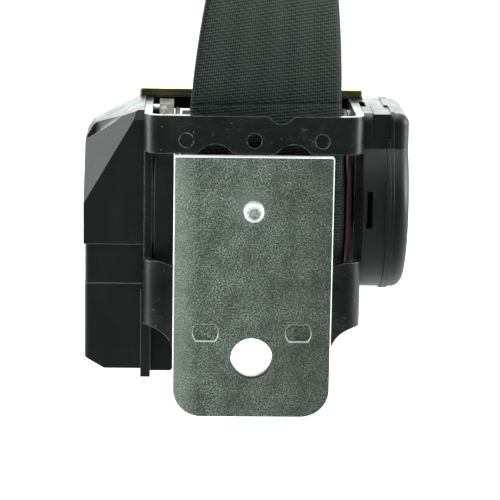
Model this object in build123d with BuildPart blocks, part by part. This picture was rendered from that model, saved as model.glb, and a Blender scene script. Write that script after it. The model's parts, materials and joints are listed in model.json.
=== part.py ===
from build123d import *
import os
from math import asin, atan2, cos, degrees, hypot, pi, radians, sin, tan

# Emergency locking seat belt retractor with its mounting bracket and latch plate.
# Frame of the part: +Z up along the webbing, +X to the spring side, +Y away from
# the vehicle's pillar. The origin is the centre of the anchor hole, on the
# bracket's outer face. Lengths are in millimetres.

os.makedirs("parts", exist_ok=True)

# Clearances
running_gap = 0.05
loose_gap = 0.3

# Webbing
webbing_width = 47.0
webbing_thickness = 1.2
roll_radius = 26.2
belt_centre_x = 3.7
exit_y = 11.0
exit_z = 78.0
twist_start_z = 66.0
twist_at_exit = 7.0
twist_at_latch = 34.0
belt_drift = 1.7
free_webbing = 40.0

# Mounting bracket
bracket_width = 49.0
bracket_thickness = 3.0
bracket_top = 63.5
bracket_below_hole = 18.9
bracket_bottom_corner = 9.0
bracket_top_corner = 0.8
bracket_edge_break = 0.5
anchor_hole_d = 13.0
half_shear_d = 8.0
half_shear_height = 5.5
half_shear_depth = 1.3
half_shear_x = 14.4
half_shear_z = 8.15

# Locating stud
stud_z = 46.8
stud_d = 6.3
stud_length = 4.2
stud_tip_d = 3.0
stud_rivet_d = 7.6
stud_rivet_height = 0.7
stud_neck = 0.5

# Steel frame
frame_thickness = 2.5
frame_width = 67.4
frame_top = 75.5
frame_depth = 47.0
frame_bend_radius = 5.0
flange_bottom = 9.4
flange_corner = 12.0
flange_slope_height = 8.0
foot_step = 9.3
frame_foot_bottom = 17.5
foot_corner = 8.5
foot_fillet = 9.2
strap_bottom = 63.8
window_bottom = 30.0
window_sag = 5.0
window_depth = 5.0
strap_hole_d = 4.5
strap_hole_z = 67.9
coin_mark_x = 20.8
coin_mark_depth = 0.3
relief_x = 12.0
relief_radius = 6.2
relief_height = 3.0
relief_blend = 2.0
notch_x = 8.1
notch_radius = 4.2
notch_depth = 2.3
notch_blend = 1.5

# Tie bar across the back of the frame
tie_bar_overhang = 1.9
tie_bar_height = 6.9
tie_bar_thickness = 2.5
tie_bar_above_frame = 3.0
tie_bar_y = 41.7
tie_bar_lip = 2.9
tie_bar_lip_depth = 2.0
tie_bar_edge_break = 0.6
tie_bar_corner = 0.8
tab_above_bar_foot = 1.5
tab_height = 2.2
tab_proud = 0.4

# Spool
spool_y = 31.0
spool_z = 46.0
spool_left_x = -22.8
spool_right_x = 28.6
spool_flange_thickness = 1.5
spool_flange_radius = 27.4
flange_edge_break = 0.4
core_radius = 9.0
hex_radius = 7.5
shaft_radius = 4.0
shaft_left_x = -48.6
shaft_right_x = 44.5
anchor_pin_radius = 1.6
anchor_pin_inset = 1.0
roll_side_gap = 0.1
shaft_chamfer = 0.5

# Ratchet and lock pawl
ratchet_teeth = 20
ratchet_tip_radius = 22.0
ratchet_root_radius = 19.2
ratchet_thickness = 4.5
ratchet_gap = 0.4
ratchet_face_lead = 4.0
pawl_pivot_y = 37.0
pawl_pivot_z = 71.8
pawl_pin_radius = 2.0
pawl_pin_step = 0.2
pawl_pin_head = 1.0
pawl_hub_radius = 3.6
pawl_nose_angle = 18.0
pawl_nose_gap = 0.9

# Bearing bushes
bush_radius = 8.0
bush_collar_radius = 10.0
bush_collar = 0.8
bush_outside = 0.7

# Guard round the ratchet
guard_radius = 27.4
guard_rim = 1.0
guard_plate = 0.8
guard_step = 2.0
guard_depth = 5.8
guard_opening = 7.0
guard_opening_front = 20.0
guard_opening_rear = 4.3

# Webbing sensor
lock_gear_radius = 17.6
lock_gear_root = 15.2
lock_gear_x = -36.6
lock_gear_thickness = 3.0
lock_gear_hub_radius = 6.0
lock_gear_hub_proud = 2.0
gear_recess = 1.4
gear_recess_width = 4.5
gear_hole_radius = 1.8
gear_hole_circle = 13.5
gear_face_lead = 7.0
inertia_disc_radius = 15.0
inertia_disc_thickness = 3.0
inertia_disc_gap = 0.6
disc_slot_circle = 11.0
disc_slot_length = 7.0
disc_slot_width = 3.0

# Covers on the sensor side
cover_wall = 1.8
cover_left_x = -52.4
cover_front_y = 9.0
cover_rear_y = 52.0
cover_top_z = 76.0
cover_bevel_height = 2.9
cover_bevel_depth = 1.5
cover_shoulder_rear_y = 41.5
cover_shoulder_z = 69.3
cover_top_flat = 1.8
cover_top_slope = 0.524
cover_side_run = 2.4
cover_side_drop = 11.5
cover_corner_round = 3.0
cover_rear_drop = 11.0
bevel_start_x = 3.5
bevel_start_drop = 3.2
bevel_foot_x = 1.4
bevel_foot_rise = 15.3
bevel_depth = 18.0
bevel_back_drop = 10.0
scoop_radius = 6.5
scoop_start_x = 11.1
scoop_start_y = 4.3
scoop_start_z = 2.1
scoop_end_x = 0.4
scoop_end_y = 15.3
scoop_end_drop = 4.5
shaft_boss_wall = 2.5
shaft_boss_length = 4.0
cover_split_z = 34.0
base_split_z = 21.5
base_inset = 0.5
housing_bottom_z = -5.9
housing_left_x = -52.0
housing_chamfer_x = 6.0
housing_chamfer_z = 3.6
housing_edge_round = 1.2
housing_depth = 37.0
carrier_right_x = -23.2
carrier_bottom_z = -7.0
carrier_top_z = 8.6
carrier_rear_y = 44.0
carrier_front_y = 11.0
carrier_corner = 2.0
tongue_width = 3.1
tongue_below = 1.4
tongue_left_x = -34.6
tongue_front_y = 8.4

# Vehicle sensor
ball_radius = 6.0
ball_x = -43.2
ball_z = 8.3
cup_radius = 7.0
cup_slope = 30.0
lever_pivot_y = 41.5
lever_pivot_z = 21.0
lever_pin_radius = 1.0
lever_tip_gap = 1.4
beak_forward = 7.5

# Spring side
drum_radius = 29.0
shoulder_top_z = 75.6
shoulder_round = 3.0
shoulder_rear_round = 2.0
housing_seam_x = 42.1
spring_outer_x = 48.0
spring_wall = 1.8
spring_cavity_radius = 26.4
cap_edge_round = 3.5
rim_width = 1.1
rim_proud = 0.5
cap_lug_reach = 5.3
cap_lug_width = 15.0
cap_lug_drop = 1.45
cap_skirt_height = 7.4
lug_thickness = 2.0
lug_gap = 0.15
cap_boss_overlap = 2.0
side_slot_x = 1.0
side_slot_width = 2.0
side_slot_depth = 4.0
side_slot_z = 46.75
side_slot_height = 11.5
key_recess_y = 29.0
key_recess_width = 10.0
key_recess_depth = 2.0
arbor_gap = 0.6
arbor_end_gap = 0.3
mainspring_side_gap = 0.4
arbor_radius = 7.0
mainspring_turns = 6
mainspring_thickness = 0.5
mainspring_outer_radius = 25.2

# Latch plate
latch_width = 62.0
latch_thickness = 2.6
latch_bar = 5.0
latch_slot_width = 50.0
latch_slot_height = 5.0
latch_base_height = 22.0
latch_length = 62.0
blade_width = 25.0
blade_tip_round = 6.0
latch_window_width = 12.0
latch_window_height = 14.0
grip_width = 66.0
grip_height = 24.0
grip_thickness = 11.0
grip_round = 3.0
stitched_length = 24.0

# Values worked out from the sizes above
frame_front_y = bracket_thickness
frame_back_y = frame_front_y + frame_thickness
frame_rear_y = frame_front_y + frame_depth
frame_half = frame_width / 2
frame_inner = frame_half - frame_thickness
frame_foot_width = frame_width - 2 * foot_step
housing_right_x = -frame_half
tie_bar_top = frame_top + tie_bar_above_frame
tie_bar_bottom = tie_bar_top - tie_bar_height
tie_bar_back_y = tie_bar_y + tie_bar_thickness
tab_z = tie_bar_bottom + tab_above_bar_foot
belt_offset = roll_radius + loose_gap + webbing_thickness / 2
ratchet_x = spool_left_x - spool_flange_thickness - ratchet_gap - ratchet_thickness
latch_z = exit_z + free_webbing + stitched_length + 4.0


def front_plane(y):
    """Plane seen from the front at depth y: local x is X and local y is Z."""
    return Plane.XZ.offset(-y)


def side_plane(x):
    """Plane across the part at x: local x is Y and local y is Z."""
    return Plane.YZ.offset(x)


def disc(radius, x, length, hole=0, y=spool_y, z=spool_z):
    """Add a disc or ring along X to the part in hand."""
    with BuildSketch(side_plane(x)) as ring:
        with Locations((y, z)):
            Circle(radius)
            if hole:
                Circle(hole, mode=Mode.SUBTRACT)
    extrude(ring.sketch, amount=length)


def bore(radius, x, length, y=spool_y, z=spool_z):
    """Cut a round hole along X in the part in hand."""
    with BuildSketch(side_plane(x)) as hole:
        with Locations((y, z)):
            Circle(radius)
    extrude(hole.sketch, amount=length, mode=Mode.SUBTRACT)


def block(x0, x1, y0, y1, z0, z1, mode=Mode.ADD):
    """Add or cut a block between two corners in the part in hand."""
    with Locations(((x0 + x1) / 2, (y0 + y1) / 2, (z0 + z1) / 2)):
        Box(x1 - x0, y1 - y0, z1 - z0, mode=mode)


def half_shear_sketch(y):
    """The pair of flat sided marks pressed from the bracket into the frame."""
    with BuildSketch(front_plane(y)) as marks:
        with Locations((-half_shear_x, half_shear_z), (half_shear_x, half_shear_z)):
            Circle(half_shear_d / 2)
        with Locations((0, half_shear_z)):
            Rectangle(4 * half_shear_x, half_shear_height, mode=Mode.INTERSECT)
    return marks.sketch


def toothed_sketch(x, teeth, tip, root, steep_angle):
    """Saw tooth wheel with a steep face at steep_angle, counted from +Z towards -Y."""
    pitch = 360 / teeth
    shape = [(0.0, root), (0.34, root), (0.78, tip), (1.0, tip)]
    points = []
    for tooth in range(teeth):
        for share, radius in shape:
            angle = radians(steep_angle - (tooth + share) * pitch)
            points.append((spool_y - radius * sin(angle), spool_z + radius * cos(angle)))
    with BuildSketch(side_plane(x)) as wheel:
        with BuildLine():
            Polyline(*points, close=True)
        make_face()
    return wheel.sketch


# Locating stud riveted through the bracket; its shank narrows inside the hole
with BuildPart() as locating_stud:
    with BuildSketch(Plane.YZ):
        with BuildLine():
            shoulder = (stud_d - stud_tip_d) / 2
            tip = -stud_length
            neck_z = stud_z + stud_d / 2 - stud_neck
            Line((tip, stud_z), (tip, stud_z + stud_tip_d / 2))
            TangentArc((tip, stud_z + stud_tip_d / 2), (tip + shoulder, stud_z + stud_d / 2),
                       tangent=(0, 1))
            Polyline(
                (tip + shoulder, stud_z + stud_d / 2),
                (0, stud_z + stud_d / 2),
                (stud_neck, neck_z),
                (bracket_thickness, neck_z),
                (bracket_thickness, stud_z + stud_rivet_d / 2),
                (bracket_thickness + stud_rivet_height, stud_z + stud_rivet_d / 2 - stud_neck),
                (bracket_thickness + stud_rivet_height, stud_z),
                (tip, stud_z),
            )
        make_face()
    revolve(axis=Axis((0, 0, stud_z), (0, 1, 0)))

# Mounting bracket
with BuildPart() as mounting_bracket:
    with BuildSketch(Plane.XZ) as bracket_outline:
        with Locations((0, (bracket_top - bracket_below_hole) / 2)):
            Rectangle(bracket_width, bracket_top + bracket_below_hole)
        fillet(bracket_outline.vertices().group_by(Axis.Y)[0], bracket_bottom_corner)
        fillet(bracket_outline.vertices().group_by(Axis.Y)[-1], bracket_top_corner)
    extrude(amount=-bracket_thickness)
    fillet(mounting_bracket.faces().sort_by(Axis.Y)[0].edges(), bracket_edge_break)
    with BuildSketch(Plane.XZ):
        Circle(anchor_hole_d / 2)
    extrude(amount=-bracket_thickness, mode=Mode.SUBTRACT)
    add(locating_stud.part, mode=Mode.SUBTRACT)
    extrude(half_shear_sketch(0), amount=-half_shear_depth, mode=Mode.SUBTRACT)
    extrude(half_shear_sketch(bracket_thickness), amount=-half_shear_depth)

# Steel frame: a channel with a window, a strap above it and a foot below it
with BuildPart() as frame:
    channel_mid = (frame_front_y + frame_rear_y) / 2
    with BuildSketch(Plane.XY.offset(-frame_foot_bottom)) as channel:
        with Locations((0, channel_mid)):
            Rectangle(frame_width, frame_depth)
        fillet(channel.vertices().group_by(Axis.Y)[0], frame_bend_radius)
    extrude(amount=frame_top + frame_foot_bottom)
    with BuildSketch(Plane.XY.offset(-frame_foot_bottom)) as channel_hollow:
        with Locations((0, channel_mid + frame_thickness)):
            Rectangle(2 * frame_inner, frame_depth)
        fillet(channel_hollow.vertices().group_by(Axis.Y)[0], frame_bend_radius - frame_thickness)
    extrude(amount=frame_top + frame_foot_bottom, mode=Mode.SUBTRACT)
    # Side outline of the flanges, with the shoulder that the tie bar sits on
    with BuildSketch(side_plane(-frame_half)):
        with BuildLine():
            Polyline(
                (frame_front_y, -frame_foot_bottom),
                (frame_back_y, -frame_foot_bottom),
                (frame_back_y, flange_bottom),
                (frame_rear_y - flange_corner, flange_bottom),
                (frame_rear_y, flange_bottom + flange_corner),
                (frame_rear_y, tie_bar_bottom - flange_slope_height),
                (tie_bar_back_y, tie_bar_bottom),
                (tie_bar_y, tie_bar_bottom),
                (tie_bar_y, frame_top),
                (frame_front_y, frame_top),
                close=True,
            )
        make_face()
    extrude(amount=frame_width, mode=Mode.INTERSECT)
    for side in (-1, 1):
        tab_x = side * (frame_half - frame_thickness / 2)
        half_tab = frame_thickness / 2
        block(tab_x - half_tab, tab_x + half_tab, tie_bar_y, tie_bar_back_y + tab_proud,
              tab_z, tab_z + tab_height)
    # Space beside the foot, below the flanges
    with BuildSketch(front_plane(0)) as beside_foot:
        width = frame_half + 1 - frame_foot_width / 2
        height = frame_foot_bottom + 1 + flange_bottom
        for side in (-1, 1):
            with Locations((side * (frame_foot_width + width) / 2, flange_bottom - height / 2)):
                Rectangle(width, height)
        top_corners = beside_foot.vertices().group_by(Axis.Y)[-1].sort_by(Axis.X)
        fillet([top_corners[1], top_corners[2]], foot_fillet)
    extrude(amount=-(frame_rear_y + 1), mode=Mode.SUBTRACT)
    foot_edges = frame.edges().filter_by(Axis.Y).group_by(Axis.Z)[0]
    fillet(foot_edges, foot_corner)
    # Window for the webbing roll, cut through both bends
    with BuildSketch(front_plane(0)) as window:
        with BuildLine():
            edge = frame_half + 1
            ledge = frame_half - frame_bend_radius
            Line((-edge, window_bottom), (-edge, strap_bottom))
            Line((-edge, strap_bottom), (edge, strap_bottom))
            Line((edge, strap_bottom), (edge, window_bottom))
            Line((edge, window_bottom), (ledge, window_bottom))
            ThreePointArc((ledge, window_bottom), (0, window_bottom - window_sag),
                          (-ledge, window_bottom))
            Line((-ledge, window_bottom), (-edge, window_bottom))
        make_face()
        with Locations((-relief_x, strap_bottom + relief_height - relief_radius),
                       (relief_x, strap_bottom + relief_height - relief_radius)):
            Circle(relief_radius)
        relief_corners = [v for v in window.vertices()
                          if abs(v.Y - strap_bottom) < 0.01 and abs(v.X) < frame_inner]
        fillet(relief_corners, relief_blend)
    extrude(amount=-(frame_front_y + window_depth), mode=Mode.SUBTRACT)
    # Notch in the strap's top edge
    with BuildSketch(front_plane(0)) as top_notch:
        with Locations((notch_x, frame_top + notch_radius / 2)):
            Rectangle(4 * notch_radius, notch_radius)
        with Locations((notch_x, frame_top - notch_depth + notch_radius)):
            Circle(notch_radius)
        notch_corners = [v for v in top_notch.vertices()
                         if abs(v.Y - frame_top) < 0.01 and abs(v.X - notch_x) < notch_radius]
        fillet(notch_corners, notch_blend)
    extrude(amount=-frame_back_y, mode=Mode.SUBTRACT)
    # Holes in the base and the strap
    with BuildSketch(front_plane(0)):
        Circle(anchor_hole_d / 2)
        with Locations((0, strap_hole_z)):
            Circle(strap_hole_d / 2)
    extrude(amount=-frame_back_y, mode=Mode.SUBTRACT)
    extrude(half_shear_sketch(0), amount=-(frame_front_y + half_shear_depth), mode=Mode.SUBTRACT)
    with BuildSketch(front_plane(0)):
        with Locations((-coin_mark_x, strap_hole_z), (coin_mark_x, strap_hole_z)):
            Circle(strap_hole_d / 2)
    extrude(amount=-(frame_front_y + coin_mark_depth), mode=Mode.SUBTRACT)
    # Bearing holes and the pawl pin's hole
    bore(bush_radius, -frame_half, frame_width)
    bore(pawl_pin_radius, -frame_half, frame_thickness, pawl_pivot_y, pawl_pivot_z)

# Tie bar
with BuildPart() as tie_bar:
    with BuildSketch(front_plane(tie_bar_y)):
        with Locations((0, (tie_bar_top + tie_bar_bottom) / 2)):
            Rectangle(frame_width, tie_bar_height)
    extrude(amount=-tie_bar_thickness)
    block(-frame_half - tie_bar_overhang, frame_half + tie_bar_overhang,
          tie_bar_y - tie_bar_lip_depth, tie_bar_back_y, tie_bar_top - tie_bar_lip, tie_bar_top)
    fillet(tie_bar.edges().filter_by(Axis.X).group_by(Axis.Z)[-1], tie_bar_edge_break)
    fillet(tie_bar.edges().filter_by(Axis.Y).group_by(Axis.Z)[-1], tie_bar_corner)
    for side in (-1, 1):
        slot_x = side * (frame_half - frame_thickness / 2)
        half_slot = frame_thickness / 2
        block(slot_x - half_slot, slot_x + half_slot, tie_bar_y, tie_bar_back_y,
              tab_z, tab_z + tab_height, mode=Mode.SUBTRACT)

# Bearing bushes in the two flanges
with BuildPart() as bearing_bush_left:
    disc(bush_radius, -frame_half - bush_outside, frame_thickness + bush_outside,
         shaft_radius + running_gap)
    disc(bush_collar_radius, -frame_inner, bush_collar, shaft_radius + running_gap)
with BuildPart() as bearing_bush_right:
    disc(bush_radius, frame_inner, frame_thickness + bush_outside, shaft_radius + running_gap)
    disc(bush_collar_radius, frame_inner - bush_collar, bush_collar, shaft_radius + running_gap)

# Plastic guard between the left flange and the ratchet, open at the top for the pawl
guard_rim_x = -frame_inner + guard_plate
with BuildPart() as ratchet_guard:
    disc(guard_radius - guard_step, -frame_inner, guard_plate, bush_collar_radius + loose_gap)
    disc(guard_radius, guard_rim_x, guard_rim / 2, guard_radius - 3 * guard_rim)
    disc(guard_radius, guard_rim_x, guard_depth, guard_radius - guard_rim)
    with BuildSketch(side_plane(-frame_inner)):
        with Locations((pawl_pivot_y + (guard_opening_rear - guard_opening_front) / 2,
                        spool_z + guard_radius)):
            Rectangle(guard_opening_front + guard_opening_rear, 2 * guard_opening)
    extrude(amount=guard_plate + guard_depth, mode=Mode.SUBTRACT)

# Spool core with its hexagonal drive and the slot for the webbing's end
core_left_x = ratchet_x + ratchet_thickness
core_right_x = spool_right_x + spool_flange_thickness
pin_start_x = spool_left_x + anchor_pin_inset
pin_length = spool_right_x - spool_left_x - 2 * anchor_pin_inset
with BuildPart() as spool_core:
    disc(core_radius, core_left_x, core_right_x - core_left_x)
    with BuildSketch(side_plane(ratchet_x)):
        with Locations((spool_y, spool_z)):
            RegularPolygon(hex_radius, 6)
    extrude(amount=ratchet_thickness)
    bore(shaft_radius, ratchet_x, core_right_x - ratchet_x)
    pin_z = spool_z + shaft_radius + anchor_pin_radius + 2 * loose_gap
    bore(anchor_pin_radius, pin_start_x, pin_length, spool_y, pin_z)
    block(belt_centre_x - webbing_width / 2, belt_centre_x + webbing_width / 2,
          spool_y - webbing_thickness / 2, spool_y + webbing_thickness / 2,
          pin_z, spool_z + core_radius + 1, mode=Mode.SUBTRACT)
with BuildPart() as webbing_anchor_pin:
    disc(anchor_pin_radius, pin_start_x, pin_length, y=spool_y, z=pin_z)

# Spool flanges
with BuildPart() as spool_flange_left:
    disc(spool_flange_radius, spool_left_x - spool_flange_thickness, spool_flange_thickness,
         core_radius)
with BuildPart() as spool_flange_right:
    disc(spool_flange_radius, spool_right_x, spool_flange_thickness, core_radius)
for flange in (spool_flange_left, spool_flange_right):
    rim_edges = flange.edges().filter_by(GeomType.CIRCLE).group_by(
        lambda e: round(e.radius, 3))[-1]
    flange.part = flange.part.chamfer(flange_edge_break, None, rim_edges)

# Webbing wound on the core
roll_left_x = spool_left_x + roll_side_gap
roll_right_x = spool_right_x - roll_side_gap
with BuildPart() as webbing_roll:
    disc(roll_radius, roll_left_x, roll_right_x - roll_left_x, core_radius)

# Torsion bar that the spool turns on
with BuildPart() as torsion_bar:
    disc(shaft_radius, shaft_left_x, shaft_right_x - shaft_left_x)
    chamfer(torsion_bar.edges().filter_by(GeomType.CIRCLE), shaft_chamfer)

# Ratchet wheel on the hexagon
with BuildPart() as ratchet_wheel:
    extrude(
        toothed_sketch(ratchet_x, ratchet_teeth, ratchet_tip_radius, ratchet_root_radius,
                       pawl_nose_angle + ratchet_face_lead),
        amount=ratchet_thickness,
    )
    with BuildSketch(side_plane(ratchet_x)):
        with Locations((spool_y, spool_z)):
            RegularPolygon(hex_radius, 6)
    extrude(amount=ratchet_thickness, mode=Mode.SUBTRACT)

# Lock pawl and its pivot pin
nose_radius = ratchet_tip_radius + pawl_nose_gap
nose_y = spool_y - nose_radius * sin(radians(pawl_nose_angle))
nose_z = spool_z + nose_radius * cos(radians(pawl_nose_angle))
with BuildPart() as lock_pawl:
    with BuildSketch(side_plane(ratchet_x)) as pawl_outline:
        with BuildLine():
            Polyline(
                (nose_y - 0.9, nose_z - 0.2),
                (nose_y + 0.9, nose_z + 0.2),
                (nose_y + 2.6, nose_z + 2.4),
                (pawl_pivot_y - 3.0, pawl_pivot_z - 3.0),
                (pawl_pivot_y, pawl_pivot_z + pawl_hub_radius),
                (nose_y + 3.0, pawl_pivot_z + 3.4),
                (nose_y - 2.2, nose_z + 4.4),
                close=True,
            )
        make_face()
        with Locations((pawl_pivot_y, pawl_pivot_z)):
            Circle(pawl_hub_radius)
            Circle(pawl_pin_radius + running_gap, mode=Mode.SUBTRACT)
    extrude(amount=ratchet_thickness)
with BuildPart() as pawl_pin:
    disc(pawl_pin_radius, -frame_half, ratchet_x + ratchet_thickness + frame_half,
         y=pawl_pivot_y, z=pawl_pivot_z)
    disc(pawl_pin_radius + pawl_pin_step, -frame_half - pawl_pin_head, pawl_pin_head,
         y=pawl_pivot_y, z=pawl_pivot_z)

# Lock gear that turns with the spool and lags when the sensor lever catches it
beak_angle = 180 - degrees(asin(beak_forward / lock_gear_radius))
with BuildPart() as lock_gear:
    extrude(
        toothed_sketch(lock_gear_x - lock_gear_thickness, ratchet_teeth, lock_gear_radius,
                       lock_gear_root, beak_angle + gear_face_lead),
        amount=lock_gear_thickness,
    )
    hub_end_x = lock_gear_x - lock_gear_thickness - inertia_disc_thickness - lock_gear_hub_proud
    disc(lock_gear_hub_radius, hub_end_x, lock_gear_x - hub_end_x)
    bore(lock_gear_hub_radius + gear_recess_width, lock_gear_x - gear_recess, gear_recess)
    disc(lock_gear_hub_radius, lock_gear_x - gear_recess, gear_recess)
    bore(shaft_radius + running_gap, hub_end_x, lock_gear_x - hub_end_x)
    with BuildSketch(side_plane(lock_gear_x - lock_gear_thickness)):
        with Locations((spool_y, spool_z)):
            with PolarLocations(gear_hole_circle, 5):
                Circle(gear_hole_radius)
    extrude(amount=lock_gear_thickness, mode=Mode.SUBTRACT)

# Inertia disc of the webbing sensor
disc_x = lock_gear_x - lock_gear_thickness - inertia_disc_gap - inertia_disc_thickness
with BuildPart() as inertia_disc:
    disc(inertia_disc_radius, disc_x, inertia_disc_thickness)
    bore(lock_gear_hub_radius + running_gap, disc_x, inertia_disc_thickness)
    with BuildSketch(side_plane(disc_x)):
        with Locations((spool_y, spool_z)):
            with PolarLocations(disc_slot_circle, 3, start_angle=30):
                SlotOverall(disc_slot_length, disc_slot_width, rotation=90)
    extrude(amount=inertia_disc_thickness, mode=Mode.SUBTRACT)


# Sensor side covers: outer and inner forms are the same outline at two insets
def cover_form(inset, z_low, z_high, left_x):
    """Solid outline of the sensor side cover, drawn in by inset."""
    with BuildPart() as form:
        with BuildSketch(front_plane(cover_front_y + inset)) as outline:
            with BuildLine():
                Polyline(
                    (-frame_half, z_low),
                    (-frame_half, cover_top_z - inset),
                    (-frame_half - cover_top_flat, cover_top_z - inset),
                    (left_x + cover_side_run, cover_top_z - inset - cover_top_slope
                     * (-frame_half - cover_top_flat - cover_side_run - left_x)),
                    (left_x + inset, cover_top_z - cover_side_drop - inset),
                    (left_x + inset, z_low),
                    close=True,
                )
            make_face()
            upper_left = [v for v in outline.vertices() if v.X < -frame_half - cover_top_flat - 1
                          and v.Y > z_low + 1]
            fillet(upper_left, cover_corner_round)
        extrude(amount=-(cover_rear_y - cover_front_y - 2 * inset))
        # Rear shoulder below the tie bar
        with BuildSketch(side_plane(left_x - 1)):
            with BuildLine():
                rear = cover_shoulder_rear_y - inset
                Polyline(
                    (rear, cover_top_z + 5),
                    (rear, cover_shoulder_z - inset),
                    (cover_rear_y + 1 - inset, cover_shoulder_z - inset - cover_rear_drop),
                    (2 * cover_rear_y, cover_shoulder_z - inset - cover_rear_drop),
                    (2 * cover_rear_y, cover_top_z + 5),
                    close=True,
                )
            make_face()
        extrude(amount=abs(left_x) + 2 - frame_half + 1, mode=Mode.SUBTRACT)
        # Long front bevel
        corner = Vector(-frame_half - bevel_start_x, cover_front_y, cover_top_z - bevel_start_drop)
        lower = Vector(cover_left_x + bevel_foot_x, cover_front_y, cover_split_z + bevel_foot_rise)
        back = Vector(cover_left_x, cover_front_y + bevel_depth, cover_top_z - bevel_back_drop)
        normal = (back - corner).cross(lower - corner).normalized()
        if normal.Z < 0:
            normal = -normal
        cut_plane = Plane(origin=corner - normal * inset, z_dir=normal)
        split(bisect_by=cut_plane, keep=Keep.BOTTOM)
        # Narrow bevel along the top of the front face
        with BuildSketch(side_plane(left_x - 1)):
            with BuildLine():
                front, top = cover_front_y + inset, cover_top_z - inset
                Polyline((front - 1, top + 1), (front - 1, top - cover_bevel_height),
                         (front, top - cover_bevel_height), (front + cover_bevel_depth, top),
                         (front + cover_bevel_depth, top + 1), close=True)
            make_face()
        extrude(amount=abs(left_x) + 2 - frame_half + 1, mode=Mode.SUBTRACT)
        if z_high < cover_top_z:
            block(left_x - 1, -frame_half + 1, 0, cover_rear_y + 5, z_high, cover_top_z + 1,
                  mode=Mode.SUBTRACT)
    return form.part


with BuildPart() as mechanism_cover:
    add(cover_form(0, cover_split_z, cover_top_z, cover_left_x))
    # Hollow scooped out of the ridge between the bevel and the top
    scoop_start = Vector(-frame_half - scoop_start_x, cover_front_y + scoop_start_y,
                         cover_top_z + scoop_start_z)
    scoop_end = Vector(cover_left_x - scoop_end_x, cover_front_y + scoop_end_y,
                       cover_top_z - scoop_end_drop)
    scoop_plane = Plane(origin=scoop_start, z_dir=(scoop_end - scoop_start))
    scoop_length = 1.2 * (scoop_end - scoop_start).length
    with BuildSketch(scoop_plane) as scoop:
        Circle(scoop_radius)
    extrude(scoop.sketch, amount=scoop_length, mode=Mode.SUBTRACT)
    with BuildPart(mode=Mode.PRIVATE) as cover_hollow:
        add(cover_form(cover_wall, cover_split_z, cover_top_z, cover_left_x))
        extrude(offset(scoop.sketch, cover_wall), amount=scoop_length, mode=Mode.SUBTRACT)
    add(cover_hollow.part, mode=Mode.SUBTRACT)
    # Boss that steadies the shaft's end
    disc(shaft_radius + shaft_boss_wall, cover_left_x + cover_wall, shaft_boss_length,
         shaft_radius + running_gap)

with BuildPart() as mechanism_base:
    base_left_x = cover_left_x + base_inset
    block(base_left_x, -frame_half, cover_front_y + base_inset, cover_rear_y - base_inset,
          base_split_z, cover_split_z)
    fillet(mechanism_base.edges().filter_by(Axis.Z).group_by(Axis.X)[0], housing_edge_round)
    block(base_left_x + cover_wall, -frame_half - cover_wall,
          cover_front_y + base_inset + cover_wall, cover_rear_y - base_inset - cover_wall,
          base_split_z, cover_split_z, mode=Mode.SUBTRACT)
    # Round plate against the flange, behind the lock gear
    with BuildSketch(side_plane(-frame_half - cover_wall)) as plate:
        with Locations((spool_y, spool_z)):
            Circle(lock_gear_radius)
        with Locations((spool_y, (cover_split_z + base_split_z) / 2)):
            Rectangle(30.0, cover_split_z - base_split_z)
    extrude(amount=cover_wall)
    bore(bush_radius + running_gap, -frame_half - cover_wall, cover_wall)

# Vehicle sensor housing
with BuildPart() as sensor_housing:
    with BuildSketch(front_plane(cover_front_y + base_inset)) as box_outline:
        with BuildLine():
            Polyline(
                (housing_right_x, base_split_z),
                (housing_right_x, housing_bottom_z),
                (housing_left_x + housing_chamfer_x, housing_bottom_z),
                (housing_left_x, housing_bottom_z + housing_chamfer_z),
                (housing_left_x, base_split_z),
                close=True,
            )
        make_face()
    extrude(amount=-housing_depth)
    fillet(sensor_housing.edges().filter_by(Axis.Z).group_by(Axis.X)[0], housing_edge_round)
    with BuildSketch(front_plane(cover_front_y + base_inset + cover_wall)):
        with BuildLine():
            Polyline(
                (housing_right_x - cover_wall, base_split_z),
                (housing_right_x - cover_wall, housing_bottom_z + cover_wall),
                (housing_left_x + housing_chamfer_x + loose_gap, housing_bottom_z + cover_wall),
                (housing_left_x + cover_wall, housing_bottom_z + housing_chamfer_z + loose_gap),
                (housing_left_x + cover_wall, base_split_z),
                close=True,
            )
        make_face()
    extrude(amount=-(housing_depth - 2 * cover_wall), mode=Mode.SUBTRACT)

# Sensor carrier under the frame, with its latch tab
with BuildPart() as sensor_carrier:
    with BuildSketch(front_plane(carrier_front_y)) as carrier_outline:
        with BuildLine():
            Polyline(
                (housing_right_x, carrier_top_z),
                (housing_right_x, carrier_bottom_z),
                (carrier_right_x - carrier_corner, carrier_bottom_z),
                (carrier_right_x, carrier_bottom_z + carrier_corner),
                (carrier_right_x, carrier_top_z),
                close=True,
            )
        make_face()
    extrude(amount=-(carrier_rear_y - carrier_front_y))
    block(housing_right_x + cover_wall, carrier_right_x - cover_wall,
          carrier_front_y + cover_wall, carrier_rear_y - cover_wall,
          carrier_bottom_z + cover_wall, carrier_top_z, mode=Mode.SUBTRACT)
    # Tongue that holds the sensor housing, with a narrow rib above it
    block(tongue_left_x, tongue_left_x + tongue_width, tongue_front_y,
          carrier_front_y + cover_wall, carrier_bottom_z - tongue_below, flange_bottom - loose_gap)
    block(tongue_left_x, -frame_half - loose_gap, tongue_front_y, cover_front_y + base_inset,
          flange_bottom - loose_gap, base_split_z - cover_wall)
    block(tongue_left_x - 1, housing_right_x, cover_front_y + base_inset,
          carrier_front_y + 2 * cover_wall, carrier_bottom_z - 2 * tongue_below, flange_bottom,
          mode=Mode.SUBTRACT)

# Cup that the sensor ball sits in, with the posts of the lever's pin
cup_floor_z = housing_bottom_z + cover_wall
seat_r = (ball_radius + running_gap) * sin(radians(cup_slope))
seat_z = ball_z - (ball_radius + running_gap) * cos(radians(cup_slope))


def seat_height(r):
    """Height of the cup's conical seat at radius r."""
    return seat_z + (r - seat_r) * tan(radians(cup_slope))


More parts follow.
